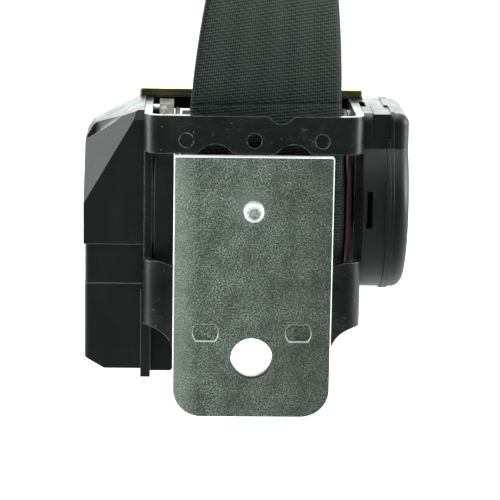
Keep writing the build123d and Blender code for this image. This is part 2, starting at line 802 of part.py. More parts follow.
with BuildPart() as sensor_cup:
    with BuildSketch(front_plane(spool_y)):
        with BuildLine():
            Polyline(
                (ball_x, cup_floor_z),
                (ball_x + 2.2, cup_floor_z),
                (ball_x + 2.2, cup_floor_z + 2.6),
                (ball_x + cup_radius, seat_height(1.2)),
                (ball_x + cup_radius, seat_height(cup_radius - 0.6)),
                (ball_x + cup_radius - 0.6, seat_height(cup_radius - 0.6)),
                (ball_x + 1.2, seat_height(1.2)),
                (ball_x, seat_height(1.2)),
                close=True,
            )
        make_face()
    revolve(axis=Axis((ball_x, spool_y, 0), (0, 0, 1)))
    shelf_z = seat_height(1.2)
    block(ball_x - 5.5, ball_x + 5.5, spool_y + cup_radius - 1.2, lever_pivot_y + 2.4,
          shelf_z - 1.8, shelf_z)
    block(ball_x - 1.5, ball_x + 5.5, lever_pivot_y - 2.4, lever_pivot_y + 2.4,
          cup_floor_z, shelf_z - 1.8)
    for side in (-1, 1):
        post_x = ball_x + side * 4.6
        block(post_x - 0.9, post_x + 0.9, lever_pivot_y - 2.4, lever_pivot_y + 2.4,
              shelf_z - 1.8, lever_pivot_z + 2.2)
    bore(lever_pin_radius, ball_x - 6, 12, lever_pivot_y, lever_pivot_z)

with BuildPart() as sensor_lever_pin:
    disc(lever_pin_radius, ball_x - 5.5, 11.0, y=lever_pivot_y, z=lever_pivot_z)

with BuildPart() as sensor_ball:
    with Locations((ball_x, spool_y, ball_z)):
        Sphere(ball_radius)

# Lever that the ball lifts into the lock gear
lever_under_z = ball_z + ball_radius + running_gap
beak_y = spool_y - beak_forward
beak_tip_z = spool_z - (lock_gear_radius + lever_tip_gap) * cos(radians(180 - beak_angle))
beak_x = lock_gear_x - lock_gear_thickness + 0.4
beak_width = lock_gear_thickness - 0.8
lever_width = 6.0
lever_thickness = 1.4
with BuildPart() as sensor_lever:
    with BuildSketch(side_plane(ball_x - lever_width / 2)):
        with BuildLine():
            Polyline(
                (beak_y - 1.0, lever_under_z),
                (lever_pivot_y - 4.0, lever_under_z),
                (lever_pivot_y + 0.8, lever_pivot_z - 1.8),
                (lever_pivot_y - 1.2, lever_pivot_z + 1.6),
                (lever_pivot_y - 5.4, lever_under_z + lever_thickness + 0.4),
                (beak_y - 1.0, lever_under_z + lever_thickness),
                close=True,
            )
        make_face()
        with Locations((lever_pivot_y, lever_pivot_z)):
            Circle(2.0)
    extrude(amount=lever_width)
    block(ball_x - lever_width / 2, beak_x + beak_width, beak_y - 2.2, beak_y + 2.2,
          lever_under_z, lever_under_z + lever_thickness)
    with BuildSketch(side_plane(beak_x)):
        with BuildLine():
            Polyline(
                (beak_y - 1.6, lever_under_z + lever_thickness / 2),
                (beak_y + 1.6, lever_under_z + lever_thickness / 2),
                (beak_y + 0.5, beak_tip_z),
                (beak_y - 0.5, beak_tip_z),
                close=True,
            )
        make_face()
    extrude(amount=beak_width)
    bore(lever_pin_radius + running_gap, ball_x - lever_width, 2 * lever_width,
         lever_pivot_y, lever_pivot_z)


# Spring side: the drum and shoulder outline serves both the housing and the cap
def spring_sketch(x, grow=0.0):
    """Outline of the spring side, seen along X, grown by a margin."""
    with BuildSketch(side_plane(x)) as outline:
        with Locations((spool_y, spool_z)):
            Circle(drum_radius + grow)
        mid_y = (cover_front_y + cover_shoulder_rear_y) / 2
        width = cover_shoulder_rear_y - cover_front_y + 2 * grow
        height = shoulder_top_z - spool_z
        with Locations((mid_y, spool_z + height / 2 + grow / 2)):
            Rectangle(width, height + grow)
        front_corner, rear_corner = outline.vertices().group_by(Axis.Y)[-1].sort_by(Axis.X)
        fillet(front_corner, shoulder_round)
        fillet(rear_corner, shoulder_rear_round)
    return outline.sketch


lug_left_x = housing_seam_x - cap_lug_reach
skirt_bottom_z = shoulder_top_z - cap_skirt_height
lug_bottom_z = spool_z + spring_cavity_radius - cap_lug_drop
lug_rear_y = cover_front_y + cap_lug_width
with BuildPart() as spring_housing:
    extrude(spring_sketch(frame_half), amount=housing_seam_x - frame_half)
    extrude(spring_sketch(housing_seam_x - rim_width, rim_proud), amount=rim_width)
    disc_start = frame_half + spring_wall
    bore(spring_cavity_radius, disc_start, housing_seam_x - disc_start)
    bore(bush_radius + loose_gap, frame_half, spring_wall)
    # Pocket for the cap's lug
    block(lug_left_x - lug_gap, housing_seam_x + 1, 0, lug_rear_y + lug_gap,
          lug_bottom_z - lug_gap, shoulder_top_z + rim_proud + 1, mode=Mode.SUBTRACT)
    block(lug_left_x - lug_gap, housing_seam_x, cover_front_y + lug_thickness,
          lug_rear_y + lug_gap, lug_bottom_z - lug_gap, shoulder_top_z - lug_thickness)
    block(lug_left_x - lug_gap, housing_seam_x + 1, 0, cover_front_y + lug_thickness + lug_gap,
          skirt_bottom_z - lug_gap, shoulder_top_z, mode=Mode.SUBTRACT)
    # Slot beside the flange and the key recess on top
    block(frame_half + side_slot_x, frame_half + side_slot_x + side_slot_width,
          0, spool_y - drum_radius + side_slot_depth, side_slot_z - side_slot_height / 2,
          side_slot_z + side_slot_height / 2, mode=Mode.SUBTRACT)
    block(frame_half, frame_half + spring_wall, key_recess_y - key_recess_width / 2,
          key_recess_y + key_recess_width / 2, shoulder_top_z - key_recess_depth,
          shoulder_top_z + 1, mode=Mode.SUBTRACT)
    bore(spring_cavity_radius, disc_start, housing_seam_x - disc_start)

with BuildPart() as spring_cap:
    extrude(spring_sketch(housing_seam_x), amount=spring_outer_x - housing_seam_x)
    outer_edges = spring_cap.faces().sort_by(Axis.X)[-1].edges()
    fillet(outer_edges, cap_edge_round)
    extrude(spring_sketch(housing_seam_x, rim_proud), amount=rim_width)
    # Lug that hooks over the housing's shoulder
    block(lug_left_x, housing_seam_x, cover_front_y, lug_rear_y, lug_bottom_z, shoulder_top_z)
    block(lug_left_x, housing_seam_x, cover_front_y + lug_thickness, lug_rear_y,
          lug_bottom_z, shoulder_top_z - lug_thickness, mode=Mode.SUBTRACT)
    block(lug_left_x, housing_seam_x, cover_front_y, cover_front_y + lug_thickness,
          skirt_bottom_z, lug_bottom_z)
    bore(spring_cavity_radius, housing_seam_x, spring_outer_x - spring_wall - housing_seam_x)
    disc(shaft_radius + shaft_boss_wall, shaft_right_x - cap_boss_overlap,
         spring_outer_x - spring_wall - shaft_right_x + cap_boss_overlap)
    bore(shaft_radius + running_gap, housing_seam_x, shaft_right_x + loose_gap - housing_seam_x)

# Spring arbor on the shaft's end
arbor_x = frame_half + spring_wall + arbor_gap
arbor_length = housing_seam_x - arbor_x - arbor_end_gap
with BuildPart() as spring_arbor:
    disc(arbor_radius, arbor_x, arbor_length, shaft_radius)

# Mainspring: a flat spiral of half turns, each a little wider than the last
with BuildPart() as mainspring:
    half_turns = 2 * mainspring_turns
    inner_radius = arbor_radius + loose_gap
    growth = (mainspring_outer_radius - mainspring_thickness - inner_radius) / half_turns
    with BuildSketch(side_plane(arbor_x + mainspring_side_gap)):
        for turn in range(half_turns):
            radius = inner_radius + growth * (turn + 0.5)
            side = 1 if turn % 2 == 0 else -1
            centre = (spool_y - side * growth / 2, spool_z)
            with BuildLine() as half_turn:
                CenterArc(centre, radius, 0 if side > 0 else 180, 180)
                offset(amount=mainspring_thickness / 2)
            make_face()
    extrude(amount=arbor_length - 2 * mainspring_side_gap)

# Webbing from the roll to the exit
lean = asin(belt_offset / hypot(exit_y - spool_y, exit_z - spool_z)) - atan2(
    spool_y - exit_y, exit_z - spool_z)
tangent_y = spool_y - belt_offset * cos(lean)
tangent_z = spool_z + belt_offset * sin(lean)


def belt_y(z):
    """Depth of the webbing's middle at height z, between the roll and the exit."""
    return tangent_y + (z - tangent_z) * tan(lean)


def belt_section(y, z, angle, x):
    """Cross section of the webbing, turned by angle about the vertical."""
    with BuildSketch(Plane.XY.offset(z)) as section:
        with Locations((x, y)):
            Rectangle(webbing_width, webbing_thickness, rotation=angle)
    return section.sketch


with BuildPart() as webbing_inner_run:
    half = webbing_thickness / 2
    with BuildSketch(side_plane(belt_centre_x - webbing_width / 2)):
        with BuildLine():
            start = (tangent_y, tangent_z)
            stop = (belt_y(twist_start_z), twist_start_z)
            Polyline(
                (start[0] - half * cos(lean), start[1] + half * sin(lean)),
                (stop[0] - half / cos(lean), stop[1]),
                (stop[0] + half / cos(lean), stop[1]),
                (start[0] + half * cos(lean), start[1] - half * sin(lean)),
                close=True,
            )
        make_face()
    extrude(amount=webbing_width)
    loft([
        belt_section(belt_y(twist_start_z), twist_start_z, 0, belt_centre_x),
        belt_section(exit_y, exit_z, twist_at_exit, belt_centre_x),
    ])

# Free webbing from the exit to the stitched end
webbing_top_z = exit_z + free_webbing
webbing_top_x = belt_centre_x + belt_drift
with BuildPart() as webbing:
    loft([
        belt_section(exit_y, exit_z, twist_at_exit, belt_centre_x),
        belt_section(exit_y, (exit_z + webbing_top_z) / 2, (twist_at_exit + twist_at_latch) / 2,
                     belt_centre_x + belt_drift / 2),
        belt_section(exit_y, webbing_top_z, twist_at_latch, webbing_top_x),
    ])

# Latch plate and its parts, square to the webbing's end
turn = radians(twist_at_latch)
latch_plane = Plane(origin=(webbing_top_x, exit_y, latch_z), x_dir=(cos(turn), sin(turn), 0),
                    z_dir=(sin(turn), -cos(turn), 0))
latch_side_plane = Plane(origin=latch_plane.origin - latch_plane.x_dir * (webbing_width / 2),
                         x_dir=latch_plane.z_dir, z_dir=latch_plane.x_dir * -1)

with BuildPart() as latch_plate:
    with BuildSketch(latch_plane.offset(-latch_thickness / 2)) as latch_outline:
        with BuildLine():
            half_width = latch_width / 2
            half_blade = blade_width / 2
            Polyline(
                (-half_width, 0),
                (half_width, 0),
                (half_width, latch_base_height - 8),
                (half_blade + 1.5, latch_base_height + 3),
                (half_blade, latch_base_height + 5),
                (half_blade, latch_length),
                (-half_blade, latch_length),
                (-half_blade, latch_base_height + 5),
                (-half_blade - 1.5, latch_base_height + 3),
                (-half_width, latch_base_height - 8),
                close=True,
            )
        make_face()
        fillet(latch_outline.vertices().group_by(Axis.Y)[-1], blade_tip_round)
        fillet(latch_outline.vertices().group_by(Axis.Y)[0], 3.0)
        with Locations((0, latch_bar + latch_slot_height / 2)):
            SlotOverall(latch_slot_width, latch_slot_height, mode=Mode.SUBTRACT)
        with Locations((0, latch_length - 19)):
            RectangleRounded(latch_window_width, latch_window_height, 1.5, mode=Mode.SUBTRACT)
    extrude(amount=latch_thickness)

with BuildPart() as latch_plate_grip:
    grip_bottom = latch_bar + latch_slot_height + 1.5
    with BuildSketch(latch_plane.offset(-grip_thickness / 2)) as grip_outline:
        with BuildLine():
            half_grip = grip_width / 2
            Polyline(
                (-half_grip, grip_bottom),
                (half_grip, grip_bottom),
                (half_grip, grip_bottom + 5),
                (half_blade + 6, grip_bottom + grip_height),
                (-half_blade - 6, grip_bottom + grip_height),
                (-half_grip, grip_bottom + 5),
                close=True,
            )
        make_face()
        fillet(grip_outline.vertices(), grip_round)
    extrude(amount=grip_thickness)
    latch_normal = Axis(latch_plane.origin, latch_plane.z_dir)
    fillet(latch_plate_grip.faces().sort_by(latch_normal)[0].edges(), grip_round)
    fillet(latch_plate_grip.faces().sort_by(latch_normal)[-1].edges(), grip_round)
    add(latch_plate.part, mode=Mode.SUBTRACT)

with BuildPart() as webbing_end_loop:
    gap = latch_thickness / 2 + loose_gap / 2
    layer = webbing_thickness
    with BuildSketch(latch_side_plane) as loop_outline:
        with BuildLine():
            Polyline(
                (layer, -stitched_length - 4.0),
                (layer, -4.0),
                (gap + layer, -1.0),
                (gap + layer, latch_bar + layer + 0.4),
                (-gap - layer, latch_bar + layer + 0.4),
                (-gap - layer, -1.0),
                (-layer, -4.0),
                (-layer, -stitched_length - 4.0),
                close=True,
            )
        make_face()
        with Locations((0, latch_bar / 2)):
            Rectangle(2 * gap, latch_bar + 2 * 0.2, mode=Mode.SUBTRACT)
    extrude(amount=-webbing_width)

pieces = {
    "mounting_bracket": mounting_bracket,
    "locating_stud": locating_stud,
    "frame": frame,
    "tie_bar": tie_bar,
    "bearing_bush_left": bearing_bush_left,
    "bearing_bush_right": bearing_bush_right,
    "ratchet_guard": ratchet_guard,
    "spool_core": spool_core,
    "webbing_anchor_pin": webbing_anchor_pin,
    "spool_flange_left": spool_flange_left,
    "spool_flange_right": spool_flange_right,
    "webbing_roll": webbing_roll,
    "torsion_bar": torsion_bar,
    "ratchet_wheel": ratchet_wheel,
    "lock_pawl": lock_pawl,
    "pawl_pin": pawl_pin,
    "lock_gear": lock_gear,
    "inertia_disc": inertia_disc,
    "mechanism_cover": mechanism_cover,
    "mechanism_base": mechanism_base,
    "sensor_housing": sensor_housing,
    "sensor_carrier": sensor_carrier,
    "sensor_cup": sensor_cup,
    "sensor_lever_pin": sensor_lever_pin,
    "sensor_ball": sensor_ball,
    "sensor_lever": sensor_lever,
    "spring_housing": spring_housing,
    "spring_cap": spring_cap,
    "spring_arbor": spring_arbor,
    "mainspring": mainspring,
    "webbing_inner_run": webbing_inner_run,
    "webbing": webbing,
    "webbing_end_loop": webbing_end_loop,
    "latch_plate": latch_plate,
    "latch_plate_grip": latch_plate_grip,
}
for name, piece in pieces.items():
    piece.part.label = name
    export_step(piece.part, f"parts/{name}.step")
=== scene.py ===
"""Finishes, webbing and studio for the seat belt retractor in the CAD frame."""

import json
import math

import bmesh
import bpy
from mathutils import Matrix, Vector


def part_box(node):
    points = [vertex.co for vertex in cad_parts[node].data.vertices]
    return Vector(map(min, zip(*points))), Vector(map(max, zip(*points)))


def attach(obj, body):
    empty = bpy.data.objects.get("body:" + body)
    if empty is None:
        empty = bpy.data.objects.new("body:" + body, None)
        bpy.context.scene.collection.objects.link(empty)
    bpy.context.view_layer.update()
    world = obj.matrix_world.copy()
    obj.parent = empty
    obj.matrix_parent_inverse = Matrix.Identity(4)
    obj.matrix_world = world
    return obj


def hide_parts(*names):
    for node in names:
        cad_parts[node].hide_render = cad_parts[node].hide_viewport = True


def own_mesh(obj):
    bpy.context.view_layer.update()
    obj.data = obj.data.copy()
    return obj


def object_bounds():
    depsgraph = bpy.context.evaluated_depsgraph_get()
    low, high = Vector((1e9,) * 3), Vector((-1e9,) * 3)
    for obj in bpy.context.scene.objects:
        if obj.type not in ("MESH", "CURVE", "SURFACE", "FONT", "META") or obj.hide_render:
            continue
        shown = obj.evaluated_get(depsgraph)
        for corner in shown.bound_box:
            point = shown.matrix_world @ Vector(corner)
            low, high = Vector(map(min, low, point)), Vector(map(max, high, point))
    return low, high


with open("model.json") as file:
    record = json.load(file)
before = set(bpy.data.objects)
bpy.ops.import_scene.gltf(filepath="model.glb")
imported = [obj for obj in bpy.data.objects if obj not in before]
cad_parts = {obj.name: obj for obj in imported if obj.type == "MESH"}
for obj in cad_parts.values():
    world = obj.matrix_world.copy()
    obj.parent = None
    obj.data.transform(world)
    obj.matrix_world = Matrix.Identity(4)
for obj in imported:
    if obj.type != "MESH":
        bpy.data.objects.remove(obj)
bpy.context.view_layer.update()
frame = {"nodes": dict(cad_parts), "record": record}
nodes = frame["nodes"]

MM = 0.001

# Camera of the photograph, in millimetres and degrees
CAMERA_PLACE = (-23.5, -689.7, 187.8)
CAMERA_PITCH = 12.52
CAMERA_YAW = 1.87
CAMERA_ROLL = -0.93
CAMERA_LENS = 165.98

# Studio, in metres and degrees: the sky is dark in front of the part and bright behind it
SKY_BRIGHT_SIDE = (0.0, 0.96, 0.28)
SKY_FROM, SKY_TO = -0.85, 0.45
SKY_LOW = 0.03
SKY_HIGH = 1.6
LIGHT_TINT = (0.93, 1.0, 0.965)
SUN_POWER = 1.1
SUN_SPREAD = 60
SUN_LEAN = (18, -14)
FLOOR_SIZE = 3.0
FLOOR_DROP = 0.15
LIGHTS_AIM = (0, 0.02, 0.05)
LIGHTS = (  # name, place, width, height, watts
    ("top_light", (-0.1, 0.25, 0.9), 0.6, 0.6, 8),
    ("back_light", (0.0, 1.3, 0.42), 1.4, 0.4, 9),
    ("left_light", (-0.75, 0.0, 0.19), 0.3, 0.4, 7.5),
    ("right_light", (0.75, 0.0, 0.19), 0.3, 0.4, 7.5),
)

# Webbing, in millimetres
WEBBING_WIDTH = 47.0
WEBBING_THICKNESS = 1.2
RIB_PITCH = 0.96
RIB_SLOPE = 0.09
YARN_PITCH = 0.72
TWILL_PITCH = 2.9
PANEL_WIDTH = 9.4
SPOOL_Y, SPOOL_Z = 31.0, 46.0
ROLL_RADIUS = 27.0
CORE_RADIUS = 9.0
TURN_STEPS = 96
LAYER_INSET = 0.35
LAYER_SCATTER = 0.3
LAYER_BEVEL = 0.25
RUN_OFFSET = 27.1
BELT_X = 3.7
EXIT_Y, EXIT_Z = 11.0, 78.0
TWIST_START_Z = 66.0
TWIST_AT_EXIT = 7.0
TWIST_AT_LATCH = 34.0
BELT_DRIFT = 1.7
LATCH_BAR = 5.0
LATCH_HALF_GAP = 1.45
STITCHED_LENGTH = 24.0
LOOP_END = 4.0
STITCH_ROWS, STITCH_COLUMNS = 7, 13
STITCH_ROW_PITCH, STITCH_COLUMN_PITCH = 3.2, 3.1
STITCH_HALF_SIZE = (2.0, 0.3, 0.25)
STITCH_TILT = 32

# Places that the finishes and their painted light and shade follow, in millimetres from the anchor
# hole
# painted shade fills the anchor hole's wall out to this radius
ANCHOR_HOLE_RADIUS = 6.5
# painted reflection: a pale band on the left of the plate, and painted shade on its right side and
# towards its foot
REFLECTION_BAND_PAINTED = (-15.5, -25.0)
SIDE_SHADE_PAINTED = (2.0, 26.0)
FOOT_SHADE_PAINTED = (44.0, 0.0)
# the stud's ring carries a painted highlight and its tip painted shade
STUD_Z = 46.8
STUD_TIP_RADIUS = 1.6
# painted glow: the plate is paler round the stud out to this distance
STUD_GLOW_PAINTED = (7.5, 3.0)
# painted shade covers the tie bar below this depth under its top
TIE_BAR_LIP = 2.6


def mm(*values):
    """A point in metres from one in millimetres."""
    return Vector(values) * MM


# Materials

class Shader:
    """A material's node tree, with short calls for the nodes that this scene uses."""

    def __init__(self, name):
        self.material = bpy.data.materials.new(name)
        self.material.use_nodes = True
        self.tree = self.material.node_tree
        self.surface = self.tree.nodes["Principled BSDF"]
        self.place = self.node("ShaderNodeTexCoord").outputs["Object"]

    def node(self, kind, **settings):
        """A new node with some of its properties set."""
        made = self.tree.nodes.new(kind)
        for key, value in settings.items():
            setattr(made, key, value)
        return made

    def link(self, source, target):
        """Joins an output socket to an input socket."""
        self.tree.links.new(source, target)

    def feed(self, socket, value):
        """Sets a socket to a number or colour, or links it to another socket."""
        if isinstance(value, bpy.types.NodeSocket):
            self.link(value, socket)
        else:
            socket.default_value = value

    def stretched(self, scale):
        """Object coordinates in millimetres, stretched by scale."""
        mapping = self.node("ShaderNodeMapping")
        mapping.inputs["Scale"].default_value = [s / MM for s in scale]
        self.link(self.place, mapping.inputs["Vector"])
        return mapping.outputs["Vector"]

    def noise(self, size, detail=4.0, roughness=0.55, stretch=(1, 1, 1)):
        """Noise whose features are about size millimetres across."""
        made = self.node("ShaderNodeTexNoise")
        made.inputs["Scale"].default_value = 1.0
        made.inputs["Detail"].default_value = detail
        made.inputs["Roughness"].default_value = roughness
        self.link(self.stretched([s / size for s in stretch]), made.inputs["Vector"])
        return made.outputs["Fac"]

    def cells(self, size):
        """Distance to the nearest of points about size millimetres apart."""
        made = self.node("ShaderNodeTexVoronoi")
        made.inputs["Scale"].default_value = 1.0
        self.link(self.stretched([1 / size] * 3), made.inputs["Vector"])
        return made.outputs["Distance"]

    def along(self, axis):
        """Place along an axis in millimetres."""
        parts = self.node("ShaderNodeSeparateXYZ")
        self.link(self.place, parts.inputs["Vector"])
        return self.math("MULTIPLY", parts.outputs[axis], 1 / MM)

    def across(self, start, end, waver):
        """0 to 1 between two places along X in millimetres, its border wavering."""
        place = self.math("ADD", self.along("X"), self.math("MULTIPLY", self.noise(14), waver))
        return self.above(place, start, end - start)

    def from_axis(self, x, z):
        """Distance in millimetres from the line along Y through x and z."""
        made = self.node("ShaderNodeVectorMath", operation="DISTANCE")
        self.link(self.stretched((1, 0, 1)), made.inputs[0])
        made.inputs[1].default_value = (x, 0, z)
        return made.outputs["Value"]

    def above(self, value, edge, blend):
        """0 below an edge and 1 above it, blending over a span that may run backwards."""
        share = self.math("DIVIDE", self.math("SUBTRACT", value, edge), blend)
        return self.math("MINIMUM", self.math("MAXIMUM", share, 0.0), 1.0)

    def ramp(self, value, *stops):
        """A colour ramp from (place, colour or grey) stops."""
        made = self.node("ShaderNodeValToRGB")
        ramp = made.color_ramp
        while len(ramp.elements) < len(stops):
            ramp.elements.new(0.5)
        for element, (place, colour) in zip(ramp.elements, stops):
            element.position = place
            grey = isinstance(colour, (int, float))
            element.color = (colour, colour, colour, 1) if grey else (*colour, 1)
        self.link(value, made.inputs["Fac"])
        return made.outputs["Color"]

    def mix(self, share, a, b):
        """Colour a mixed with b by share."""
        made = self.node("ShaderNodeMix", data_type="RGBA")
        self.feed(made.inputs["Factor"], share)
        for socket, colour in ((made.inputs["A"], a), (made.inputs["B"], b)):
            self.feed(socket, (*colour, 1) if isinstance(colour, tuple) else colour)
        return made.outputs["Result"]

    def math(self, operation, a, b=0.0):
        """One arithmetic step on numbers or sockets."""
        made = self.node("ShaderNodeMath", operation=operation)
        self.feed(made.inputs[0], a)
        self.feed(made.inputs[1], b)
        return made.outputs[0]

    def rounded(self, radius):
        """Normal that rounds hard edges by radius millimetres."""
        made = self.node("ShaderNodeBevel", samples=6)
        made.inputs["Radius"].default_value = radius * MM
        return made.outputs["Normal"]

    def edge(self, radius):
        """About 1 on sharp edges and 0 on flats."""
        geometry = self.node("ShaderNodeNewGeometry")
        product = self.node("ShaderNodeVectorMath", operation="DOT_PRODUCT")
        self.link(self.rounded(radius), product.inputs[0])
        self.link(geometry.outputs["Normal"], product.inputs[1])
        return self.math("SUBTRACT", 1.0, product.outputs["Value"])

    def turned_from(self, direction):
        """0 where the surface faces along a direction, 1 where it is square to it."""
        geometry = self.node("ShaderNodeNewGeometry")
        product = self.node("ShaderNodeVectorMath", operation="DOT_PRODUCT")
        self.link(geometry.outputs["Normal"], product.inputs[0])
        product.inputs[1].default_value = direction
        return self.math("SUBTRACT", 1.0, self.math("ABSOLUTE", product.outputs["Value"]))

    def bump(self, height, depth, normal=None):
        """Bump of a depth in millimetres, on top of another normal."""
        made = self.node("ShaderNodeBump")
        made.inputs["Strength"].default_value = 1.0
        made.inputs["Distance"].default_value = depth * MM
        self.link(height, made.inputs["Height"])
        if normal is not None:
            self.link(normal, made.inputs["Normal"])
        return made.outputs["Normal"]

    def finish(self, colour, roughness, normal=None, metallic=0.0, **sockets):
        """Feeds the surface its colour, roughness, normal and fixed values."""
        self.feed(self.surface.inputs["Base Color"],
                  (*colour, 1) if isinstance(colour, tuple) else colour)
        self.feed(self.surface.inputs["Roughness"], roughness)
        self.surface.inputs["Metallic"].default_value = metallic
        for name, value in sockets.items():
            self.surface.inputs[name.replace("_", " ")].default_value = value
        if normal is not None:
            self.link(normal, self.surface.inputs["Normal"])
        return self.material


def mottled_zinc():
    """Old zinc plate: crystal speckle and stains, with a paler left side as a painted reflection,
    painted shade on the right and foot, a painted glow round the stud, painted highlights on edges
    and side faces and painted shade in the anchor hole.
    """
    s = Shader("mottled_zinc")
    speckle = s.noise(0.5, detail=2, roughness=0.85)
    crystals = s.ramp(speckle, (0.41, (0.028, 0.042, 0.03)), (0.5, (0.145, 0.185, 0.155)),
                      (0.6, (0.47, 0.54, 0.48)))
    base = s.mix(s.ramp(s.noise(1.3, detail=4), (0.48, 0.0), (0.62, 0.4)), crystals,
                 (0.24, 0.22, 0.16))
    stains = s.ramp(s.noise(9, detail=6, roughness=0.75), (0.42, 0.0), (0.6, 0.65))
    stained = s.mix(stains, base, (0.052, 0.068, 0.054))
    # painted shade darkens the right side and the foot, and a painted reflection makes a paler
    # band on the left
    right = s.math("MULTIPLY", s.across(*SIDE_SHADE_PAINTED, 8), 0.42)
    foot_top, foot_end = FOOT_SHADE_PAINTED
    low = s.math("MULTIPLY", s.above(s.along("Z"), foot_top, foot_end - foot_top), 0.2)
    painted_side_shade = s.mix(s.math("ADD", right, low), stained, (0.04, 0.053, 0.042))
    painted_reflection_band = s.ramp(s.across(*REFLECTION_BAND_PAINTED, 2.5), (0.0, 0.0), (0.55, 0.3), (1.0, 0.42))
    reflection_and_shade_painted = s.mix(painted_reflection_band, painted_side_shade, (0.5, 0.58, 0.5))
    # painted glow: the plate is paler round the stud
    glow_rim, glow_heart = STUD_GLOW_PAINTED
    painted_glow = s.above(s.from_axis(-1.5, STUD_Z + 1.5), glow_rim, glow_heart - glow_rim)
    glow_painted = s.mix(s.math("MULTIPLY", painted_glow, 0.35), reflection_and_shade_painted, (0.36, 0.44, 0.42))
    flecks = s.ramp(s.noise(0.8, detail=5, roughness=0.95), (0.56, 0.0), (0.64, 0.8))
    flecked = s.mix(flecks, glow_painted, (0.54, 0.62, 0.56))
    pits = s.ramp(s.noise(1.0, detail=5, roughness=0.95), (0.37, 0.8), (0.45, 0.0))
    pitted = s.mix(pits, flecked, (0.03, 0.042, 0.033))
    scratch = s.ramp(s.noise(1.2, detail=6, roughness=0.8, stretch=(0.1, 1, 1.8)),
                     (0.67, 0.0), (0.72, 0.4))
    scratched = s.mix(scratch, pitted, (0.55, 0.62, 0.56))
    # painted highlight: a pale line along every sharp edge
    edge_highlight_painted = s.mix(s.ramp(s.edge(0.35), (0.015, 0.0), (0.1, 1.0)), scratched, (0.6, 0.68, 0.62))
    # painted highlight: faces turned away from the front are nearly white
    side_face_highlight = s.ramp(s.turned_from((0, 1, 0)), (0.02, 0.0), (0.2, 1.0))
    side_faces_painted_white = s.mix(side_face_highlight, edge_highlight_painted, (0.95, 0.98, 0.97))
    # painted shade: the anchor hole's wall is nearly black, and rough
    outside_hole = s.above(s.from_axis(0, 0), ANCHOR_HOLE_RADIUS + 0.02, 0.1)
    finished_colour = s.mix(outside_hole, (0.012, 0.015, 0.012), side_faces_painted_white)
    roughness = s.mix(outside_hole, (0.9, 0.9, 0.9), s.ramp(s.noise(3.0), (0.3, 0.36), (0.7, 0.5)))
    return s.finish(finished_colour, roughness, s.bump(speckle, 0.02, s.rounded(0.4)), metallic=0.45)


def bright_zinc():
    """Clean turned zinc of the stud, with a painted highlight on its ring and painted shade on its
    tip.
    """
    s = Shader("bright_zinc")
    grain = s.noise(0.9, detail=3)
    # painted highlight on the ring and painted shade on the tip, off centre as the light falls
    ring_highlight = s.ramp(grain, (0.3, (0.5, 0.53, 0.53)), (0.6, (0.88, 0.9, 0.9)))
    tip_shade = s.ramp(grain, (0.35, (0.2, 0.23, 0.22)), (0.65, (0.5, 0.54, 0.53)))
    colour = s.mix(s.above(s.from_axis(0.2, STUD_Z - 0.3), STUD_TIP_RADIUS, 0.3), tip_shade, ring_highlight)
    return s.finish(colour, s.ramp(grain, (0.3, 0.24), (0.7, 0.4)),
                    s.bump(grain, 0.01, s.rounded(0.35)), metallic=0.4)


def black_steel():
    """Black electrocoat with orange peel, dust specks and rubbed edges."""
    s = Shader("black_steel")
    peel = s.noise(0.9, detail=2)
    specks = s.ramp(s.cells(3.0), (0.05, 1.0), (0.08, 0.0))
    base = s.ramp(s.noise(11, detail=3), (0.3, (0.006, 0.0072, 0.0068)),
                  (0.7, (0.014, 0.0165, 0.0155)))
    dusty = s.mix(s.math("MULTIPLY", specks, 0.4), base, (0.25, 0.28, 0.27))
    rub = s.math("MULTIPLY", s.ramp(s.edge(0.6), (0.03, 0.0), (0.2, 1.0)),
                 s.ramp(s.noise(1.6, detail=5), (0.35, 0.0), (0.6, 1.0)))
    rubbed = s.mix(s.math("MULTIPLY", rub, 0.4), dusty, (0.4, 0.45, 0.43))
    marks = s.noise(0.8, detail=6, roughness=0.85, stretch=(0.3, 1, 0.8))
    scratch = s.math("MULTIPLY", s.ramp(marks, (0.57, 0.0), (0.68, 0.4)),
                     s.ramp(s.noise(12, detail=3), (0.4, 0.0), (0.55, 1.0)))
    finished_colour = s.mix(scratch, rubbed, (0.18, 0.21, 0.2))
    roughness = s.ramp(s.noise(4.0), (0.3, 0.26), (0.7, 0.42))
    return s.finish(finished_colour, roughness, s.bump(peel, 0.03, s.rounded(0.5)), Specular_IOR_Level=0.4)


def black_plastic(name, edge_highlight_share, gloss=0.35):
    """Moulded polyacetal: fine spark texture, faint flow marks and paler edges painted as
    highlights.
    """
    s = Shader(name)
    grain = s.cells(0.28)
    flow = s.noise(16, detail=3, stretch=(1, 1, 0.4))
    base = s.ramp(flow, (0.3, (0.0075, 0.0085, 0.008)), (0.7, (0.013, 0.0145, 0.014)))
    # painted highlight: paler edges, by the given share
    finished_colour = s.mix(s.math("MULTIPLY", s.ramp(s.edge(0.4), (0.02, 0.0), (0.14, 1.0)), edge_highlight_share),
                 base, (0.16, 0.175, 0.168))
    roughness = s.ramp(s.noise(6.0), (0.3, 0.38), (0.7, 0.52))
    return s.finish(finished_colour, roughness, s.bump(grain, 0.01, s.rounded(0.35)),
                    Specular_IOR_Level=gloss)


def plain_plastic(name, dark, light):
    """Moulded plastic of one colour with a faint flow pattern."""
    s = Shader(name)
    flow = s.noise(8, detail=3)
    grain = s.cells(0.4)
    colour = s.ramp(flow, (0.3, dark), (0.7, light))
    return s.finish(colour, s.ramp(flow, (0.3, 0.38), (0.7, 0.5)),
                    s.bump(grain, 0.008, s.rounded(0.3)))


